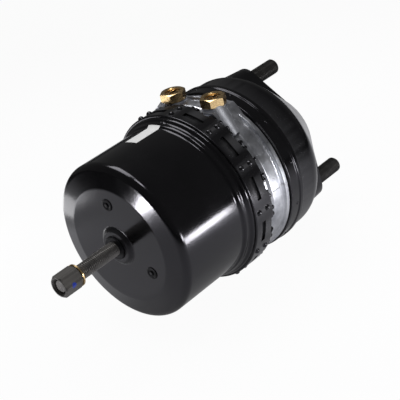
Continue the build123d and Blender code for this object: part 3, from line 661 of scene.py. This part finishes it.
def build_spring(node, coil_radius, turns, moving_body, front_is_fixed):
    """Spring wire wound between a fixed seat and a moving one, with closed end turns."""
    low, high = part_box(node)
    wire = (high[1] - low[1]) / 2 - coil_radius
    first, last = low[0] + wire, high[0] - wire
    steps = int(turns * SPRING_STEPS_PER_TURN)
    vertices = []
    for step in range(steps + 1):
        share = step / steps
        angle = 2 * math.pi * turns * share
        lead = share + (smooth_share(share) - share) * END_TURN_FLATNESS
        outward = outward_at(angle)
        centre = Vector((first + (last - first) * lead, 0, 0)) + outward * coil_radius
        for side in range(SPRING_WIRE_SIDES):
            turn = 2 * math.pi * side / SPRING_WIRE_SIDES
            vertices.append(tuple(centre + outward * wire * math.cos(turn)
                                  + Vector((wire * math.sin(turn), 0, 0))))
    faces = ring_faces(steps + 1, SPRING_WIRE_SIDES)
    end = steps * SPRING_WIRE_SIDES
    faces += [tuple(range(SPRING_WIRE_SIDES))[::-1], tuple(range(end, end + SPRING_WIRE_SIDES))]
    spring = finish_mesh(node + "_coil", vertices, faces, "spring_paint", None, WIRE_ANGLE)
    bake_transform(spring)
    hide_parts(node)


def build_springs():
    for node, layout in SPRINGS.items():
        build_spring(node, *layout)


def build_diaphragm():
    """Rubber diaphragm with a flat rim, a rolled wall and a flat middle that the piston tube pushes."""
    low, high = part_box("service_diaphragm")
    rim_radius = (high[1] - low[1]) / 2
    front, rim_x = low[0] + DIAPHRAGM_THICKNESS / 2, high[0] - DIAPHRAGM_THICKNESS / 2
    foot, top = rim_radius - DIAPHRAGM_FOOT_INSET, rim_radius - DIAPHRAGM_TOP_INSET
    curve = smooth_path([(front, DIAPHRAGM_CENTRE_RADIUS),
                         *[(front + back * MM, foot + out * MM) for back, out in DIAPHRAGM_FOOT_POINTS],
                         *[(rim_x - ahead * MM, top + out * MM) for ahead, out in DIAPHRAGM_TOP_POINTS],
                         (rim_x, rim_radius)], CURVE_STEPS)
    vertices, faces = turned_profile(sheet_outline(curve, DIAPHRAGM_THICKNESS))
    diaphragm = finish_mesh("service_diaphragm_rubber", vertices, faces, "diaphragm_rubber", None)
    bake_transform(diaphragm)
    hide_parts("service_diaphragm")


def build_boot():
    """Folded dust boot between the mounting opening and a collar on the push rod."""
    low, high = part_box("boot")
    half = BOOT_THICKNESS / 2
    rod = ROD_RADIUS + BOOT_ROD_CLEARANCE
    wide = (high[1] - low[1]) / 2
    collar = low[0] + BOOT_COLLAR_START
    curve = smooth_path([(collar, rod + half), (collar + BOOT_COLLAR_LENGTH, rod + half),
                         *[(collar + past * MM, rod + out * MM) for past, out in BOOT_FOLDS],
                         (collar + BOOT_SHOULDER_PLACE, wide - BOOT_SHOULDER_INSET),
                         (collar + BOOT_SLEEVE_PLACE, wide - half),
                         (high[0] - BOOT_RIM_LENGTH, wide - half), (high[0], wide - half)], CURVE_STEPS)
    vertices, faces = turned_profile(sheet_outline(curve, BOOT_THICKNESS), BOOT_SIDES)
    boot = finish_mesh("boot_bellows", vertices, faces, "black_rubber", None, ROUND_PIECE_ANGLE)
    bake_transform(boot)
    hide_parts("boot")


def port_centres():
    """Name, side and (x, y) of both ports."""
    low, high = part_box("port_adapters")
    middle_x = (low[0] + high[0]) / 2
    reach = (high[1] - low[1]) / 2 - ADAPTER_CORNER_REACH
    return [(name, side, middle_x, side * reach) for name, side in (("parking", 1), ("service", -1))]


def build_port_threads():
    """Female thread and a barred guard inside each brass adapter."""
    low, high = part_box("port_adapters")
    bottom, top = low[2] + PORT_THREAD_FOOT, high[2] - PORT_THREAD_TOP
    steps = int((top - bottom) / PORT_PITCH * THREAD_STEPS)
    places = [bottom + (top - bottom) * step / steps for step in range(steps + 1)]
    for name, _, middle_x, middle_y in port_centres():
        vertices = []
        for place in places:
            for turn in range(THREAD_SIDES):
                angle = 2 * math.pi * turn / THREAD_SIDES
                phase = (place / PORT_PITCH - angle / (2 * math.pi)) % 1.0
                ridge = PORT_THREAD_DEPTH * max(0.0, 1 - abs(phase - 0.5) * PORT_THREAD_STEEPNESS)
                radius = PORT_BORE_RADIUS - PORT_THREAD_CLEARANCE - ridge
                vertices.append((middle_x + radius * math.sin(angle), middle_y + radius * math.cos(angle),
                                 place))
        finish_mesh("port_thread_" + name, vertices, ring_faces(len(places), THREAD_SIDES), "brass",
                    "chamber", ROUND_PIECE_ANGLE)
        build_guard("port_guard_" + name, middle_x, middle_y, top - GUARD_DEPTH)


def build_guard(name, middle_x, middle_y, level):
    """Two brass bars across the port on a thin ring."""
    outer = PORT_BORE_RADIUS - GUARD_RING_OUTER_GAP
    inner = PORT_BORE_RADIUS - GUARD_RING_INNER_GAP
    rise = GUARD_RING_HEIGHT
    vertices = []
    for radius, height in ((outer, 0.0), (outer, rise), (inner, rise), (inner, 0.0)):
        for turn in range(THREAD_SIDES):
            angle = 2 * math.pi * turn / THREAD_SIDES
            vertices.append((middle_x + radius * math.cos(angle), middle_y + radius * math.sin(angle),
                             level + height))
    faces = ring_faces(4, THREAD_SIDES, closed=True)
    corners = len(GUARD_BAR_OUTLINE)
    for offset in GUARD_BAR_PLACES:
        half_length = math.sqrt(inner ** 2 - offset ** 2) + GUARD_BAR_SINK
        base = len(vertices)
        for x in (-half_length, half_length):
            vertices += [(middle_x + x, middle_y + offset + y * MM, level + z * MM)
                         for y, z in GUARD_BAR_OUTLINE]
        faces += link_rows(base, base + corners, corners)
        faces += [tuple(range(base, base + corners))[::-1], tuple(range(base + corners, base + 2 * corners))]
    finish_mesh(name, vertices, faces, "brass", "chamber")


def build_flash_lines():
    """Raised parting lines that the die leaves along the casting."""
    tree = tree_of("partition")
    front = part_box("retaining_band")[1][0] + FLASH_FRONT_GAP
    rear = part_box("clamp_ring")[0][0] - FLASH_REAR_GAP
    width = len(FLASH_PROFILE)
    for number, angle in enumerate(FLASH_ANGLES):
        vertices = []
        for step in range(FLASH_STEPS + 1):
            x = front + (rear - front) * step / FLASH_STEPS
            for offset, height in FLASH_PROFILE:
                radius = surface_radius(tree, x, math.radians(angle)) + height * MM
                vertices.append(round_point(x, radius, math.radians(angle) + offset * MM / radius))
        faces = [(row * width + side, row * width + side + 1, (row + 1) * width + side + 1,
                  (row + 1) * width + side) for row in range(FLASH_STEPS) for side in range(width - 1)]
        finish_mesh(f"casting_flash_{number}", vertices, faces, "cast_aluminium", "chamber", FLASH_EDGE_ANGLE)


def build_ring_stakes():
    """Punch marks that lock the clamp ring."""
    along = Vector((1, 0, 0))
    low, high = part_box("clamp_ring")
    radius = (high[1] - low[1]) / 2
    vertices, faces = [], []
    for angle in STAKE_ANGLES:
        outward = outward_at(math.radians(angle))
        base = along * (low[0] + STAKE_SETBACK) + outward * (radius - STAKE_SINK)
        dome_cap(vertices, faces, base, outward, along, STAKE_RADIUS, STAKE_HEIGHT)
    finish_mesh("clamp_ring_stakes", vertices, faces, "housing_black", "chamber")


def build_band_crimps():
    """Lumps along the rear edge of the retaining band where it is pressed over the casting."""
    along = Vector((1, 0, 0))
    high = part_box("retaining_band")[1]
    vertices, faces = [], []
    for step in range(CRIMP_COUNT):
        angle = step * CRIMP_SPACING + CRIMP_SWAY * math.sin(step * CRIMP_SWAY_RATE)
        outward = outward_at(math.radians(angle))
        place = high[0] + CRIMP_SHIFT * math.sin(step * CRIMP_SHIFT_RATE)
        base = along * place + outward * (high[1] - CRIMP_SINK)
        dome_cap(vertices, faces, base, outward, along, CRIMP_RADIUS, CRIMP_HEIGHT)
    finish_mesh("band_crimps", vertices, faces, "satin_black", "chamber")


def build_vent_plugs():
    """Round plugs with a raised rim and a centre button in the front of the can."""
    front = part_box("vent_plugs")[0][0] + VENT_FACE
    for number, angle in enumerate(VENT_ANGLES):
        turn = math.radians(angle)
        centre = (VENT_CIRCLE_RADIUS * math.cos(turn), VENT_CIRCLE_RADIUS * math.sin(turn))
        vertices = [point for depth, radius in VENT_PROFILE
                    for point in circle(front + depth * MM, radius * MM, THREAD_SIDES, centre)]
        plug = finish_mesh(f"vent_plug_{number}", vertices, ring_faces(len(VENT_PROFILE), THREAD_SIDES),
                           "black_rubber", "chamber", ROUND_PIECE_ANGLE, VENT_LOOK)
        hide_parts("vent_plugs")


def build_label():
    """Blank white film with square corners, laid on the can."""
    tree = tree_of("spring_can")
    stride = LABEL_ROWS + 1
    vertices = []
    for height in LABEL_FACES:
        for column in range(LABEL_COLUMNS + 1):
            x = LABEL_X[0] + (LABEL_X[1] - LABEL_X[0]) * column / LABEL_COLUMNS
            for row in range(stride):
                angle = math.radians(LABEL_ANGLES[0] + (LABEL_ANGLES[1] - LABEL_ANGLES[0]) * row / LABEL_ROWS)
                vertices.append(round_point(x, surface_radius(tree, x, angle) + height, angle))
    layer = (LABEL_COLUMNS + 1) * stride
    faces = []
    for column in range(LABEL_COLUMNS):
        for row in range(LABEL_ROWS):
            corner = column * stride + row
            lower = (corner, corner + stride, corner + stride + 1, corner + 1)
            faces += [lower, tuple(layer + index for index in reversed(lower))]
    border = list(range(stride))
    border += [column * stride + LABEL_ROWS for column in range(1, LABEL_COLUMNS + 1)]
    border += [LABEL_COLUMNS * stride + row for row in range(LABEL_ROWS - 1, -1, -1)]
    border += [column * stride for column in range(LABEL_COLUMNS - 1, 0, -1)]
    for here, there in zip(border, border[1:] + border[:1]):
        faces.append((here, there, layer + there, layer + here))
    label = finish_mesh("label_film", vertices, faces, "blank_label", "chamber")
    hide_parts("label")


def build_port_columns():
    """Tapered round columns that carry each port down the side of the casting."""
    tree = tree_of("partition")
    top_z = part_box("port_adapters")[0][2] + PORT_COLUMN_TOP
    for name, side, middle_x, middle_y in port_centres():
        turn = math.radians(90 - side * (90 - PORT_COLUMN_FOOT_ANGLE))
        foot_x = middle_x - PORT_COLUMN_LEAN
        foot = Vector(round_point(foot_x, surface_radius(tree, foot_x, turn), turn))
        top = Vector((middle_x, middle_y + side * PORT_COLUMN_SPREAD, top_z))
        across = (foot - top).normalized().cross(Vector((1, 0, 0))).normalized()
        vertices = []
        for row in range(PORT_COLUMN_STEPS + 1):
            share = row / PORT_COLUMN_STEPS
            radius = PORT_COLUMN_TOP_RADIUS + (PORT_COLUMN_FOOT_RADIUS - PORT_COLUMN_TOP_RADIUS) * share
            for step in range(PORT_COLUMN_SIDES):
                angle = 2 * math.pi * step / PORT_COLUMN_SIDES
                vertices.append(tuple(top.lerp(foot, share) + Vector((radius * math.cos(angle), 0, 0))
                                      + across * radius * math.sin(angle)))
        finish_mesh("port_column_" + name, vertices, ring_faces(PORT_COLUMN_STEPS + 1, PORT_COLUMN_SIDES),
                    "cast_aluminium", "chamber", look=COLUMN_LOOK)


# ---------------------------------------------------------------- stage

def camera():
    """Camera on a line from its target at an azimuth and elevation, turned about that line by its roll."""
    azimuth = math.radians(CAMERA_AZIMUTH)
    elevation = math.radians(CAMERA_ELEVATION)
    roll = math.radians(CAMERA_ROLL)
    back = Vector((math.sin(azimuth) * math.cos(elevation), -math.cos(azimuth) * math.cos(elevation),
                   math.sin(elevation)))
    level_right = (-back).cross(Vector((0, 0, 1))).normalized()
    level_up = level_right.cross(-back)
    right = level_right * math.cos(roll) + level_up * math.sin(roll)
    up = level_up * math.cos(roll) - level_right * math.sin(roll)
    data = bpy.data.cameras.new("camera")
    data.sensor_width = SENSOR_WIDTH
    data.lens = SENSOR_WIDTH * FOCAL_IN_IMAGE_WIDTHS
    data.shift_x = SHIFT_X
    data.shift_y = SHIFT_Y
    data.clip_start = CAMERA_CLIP_START
    viewer = bpy.data.objects.new("camera", data)
    bpy.context.scene.collection.objects.link(viewer)
    place = CAMERA_TARGET + back * CAMERA_DISTANCE
    viewer.matrix_world = Matrix((
        (right.x, up.x, back.x, place.x), (right.y, up.y, back.y, place.y),
        (right.z, up.z, back.z, place.z), (0, 0, 0, 1)))
    bpy.context.scene.camera = viewer


def soft_box(name, place, size, power, seen=True):
    """Rectangular lamp at a point, facing the chamber; an unseen one is left out of the picture."""
    data = bpy.data.lights.new(name, "AREA")
    data.shape = "RECTANGLE"
    data.size, data.size_y = size
    data.energy = power
    lamp = bpy.data.objects.new(name, data)
    bpy.context.scene.collection.objects.link(lamp)
    lamp.location = place
    lamp.rotation_euler = (Vector(place) - STAGE_CENTRE).to_track_quat("Z", "Y").to_euler()
    lamp.visible_camera = seen


def lights():
    """Soft boxes, each set where its reflection is wanted on the black paint."""
    soft_box("overhead_box", place=(0.05, 0.6, 1.8), size=(1.1, 1.1), power=20.0)
    soft_box("front_box", place=(-0.12, -0.35, 1.85), size=(0.5, 0.5), power=7.0)
    soft_box("streak_box", place=(0.005, -0.34, -0.055), size=(0.07, 0.045), power=0.35, seen=False)
    soft_box("shoulder_box", place=(-0.655, 0.19, -0.055), size=(0.06, 0.04), power=0.5, seen=False)
    soft_box("rim_box", place=(-0.27, 0.28, -0.05), size=(0.25, 0.04), power=0.09, seen=False)
    soft_box("bead_box", place=(-0.07, -0.5, -0.02), size=(0.12, 0.05), power=0.68, seen=False)


def calculate(nodes, links, operation, first, second):
    """Math node fed by sockets or plain values."""
    node = nodes.new("ShaderNodeMath")
    node.operation = operation
    for value, socket in ((first, node.inputs[0]), (second, node.inputs[1])):
        if isinstance(value, bpy.types.NodeSocket):
            links.new(value, socket)
        else:
            socket.default_value = value
    return node.outputs["Value"]


def background_share(nodes, links, seen, mirrored):
    """Factor for a mix: one share on camera rays, another on mirrored and refracted ones, else none."""
    rays = nodes.new("ShaderNodeLightPath").outputs
    shares = {"Is Camera Ray": seen, "Is Glossy Ray": mirrored, "Is Transmission Ray": mirrored}
    camera_term, glossy_term, transmission_term = [
        calculate(nodes, links, "MULTIPLY", rays[ray], share) for ray, share in shares.items()]
    larger = calculate(nodes, links, "MAXIMUM", camera_term, glossy_term)
    return calculate(nodes, links, "MAXIMUM", larger, transmission_term)


def mix_shaders(nodes, links, factor, first, second, target):
    """Mix of two shaders on an output node's surface."""
    chooser = nodes.new("ShaderNodeMixShader")
    for output, socket in zip((factor, first, second), chooser.inputs):
        links.new(output, socket)
    links.new(chooser.outputs["Shader"], target.inputs["Surface"])


def build_floor():
    """Pale floor, close to pure white in the picture, with a trace of the chamber's shadow; its own colour is
    a painted pool of light, pale near the chamber and almost black farther off, and the white that the paint
    mirrors fades the same way.
    """
    mesh = bpy.data.meshes.new("floor")
    half = FLOOR_HALF_WIDTH
    floor_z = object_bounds()[0][2] - FLOOR_GAP
    mesh.from_pydata([(-half, -half, floor_z), (half, -half, floor_z), (half, half, floor_z),
                      (-half, half, floor_z)], [], [(0, 1, 2, 3)])
    floor = bpy.data.objects.new("floor", mesh)
    bpy.context.scene.collection.objects.link(floor)
    pale = Shader("floor_painted_pool_look")
    pale.set(Roughness=0.9, Specular_IOR_Level=0.0)
    # painted pool of light: 1 near the chamber and 0 farther off; it darkens the floor's colour with distance
    # and fades the white that glossy rays see
    painted_pool = pale.reach(tuple(STAGE_CENTRE), *FLOOR_PAINTED_POOL_REACH)
    pale.link(pale.mix(painted_pool, FLOOR_PAINTED_SHADE_COLOUR, FLOOR_PAINTED_LIT_COLOUR), "Base Color")
    white = pale.nodes.new("ShaderNodeEmission")
    mirrored = pale.span(painted_pool, 0.0, MIRRORED_FLOOR)
    share = background_share(pale.nodes, pale.links, FLOOR_WHITENESS, mirrored)
    mix_shaders(pale.nodes, pale.links, share, pale.surface.outputs["BSDF"], white.outputs["Emission"],
                pale.nodes["Material Output"])
    mesh.materials.append(pale.material)


def build_world():
    """Faint even light, and white where the camera looks past the floor."""
    world = bpy.data.worlds.new("studio")
    world.use_nodes = True
    bpy.context.scene.world = world
    nodes, links = world.node_tree.nodes, world.node_tree.links
    ambient = nodes["Background"]
    seen = nodes.new("ShaderNodeBackground")
    for background, strength in ((ambient, AMBIENT_STRENGTH), (seen, 1.0)):
        background.inputs["Color"].default_value = (1.0, 1.0, 1.0, 1.0)
        background.inputs["Strength"].default_value = strength
    share = background_share(nodes, links, 1.0, MIRRORED_SKY)
    mix_shaders(nodes, links, share, ambient.outputs["Background"], seen.outputs["Background"],
                nodes["World Output"])


paint_frame()
soften(HEAVY_EDGE, "service_housing", "clamp_ring", "port_adapters", "partition", "release_hex", "bolt_boss")
soften(THIN_EDGE, "retaining_band", "spring_can", "reinforcement_plate", "parking_piston", "pressure_plate")
build_studs()
build_release_bolt()
build_springs()
build_diaphragm()
build_boot()
build_port_threads()
build_flash_lines()
build_ring_stakes()
build_band_crimps()
build_vent_plugs()
build_label()
build_port_columns()
camera()
lights()
build_floor()
build_world()
bpy.context.scene.view_settings.view_transform = "Standard"
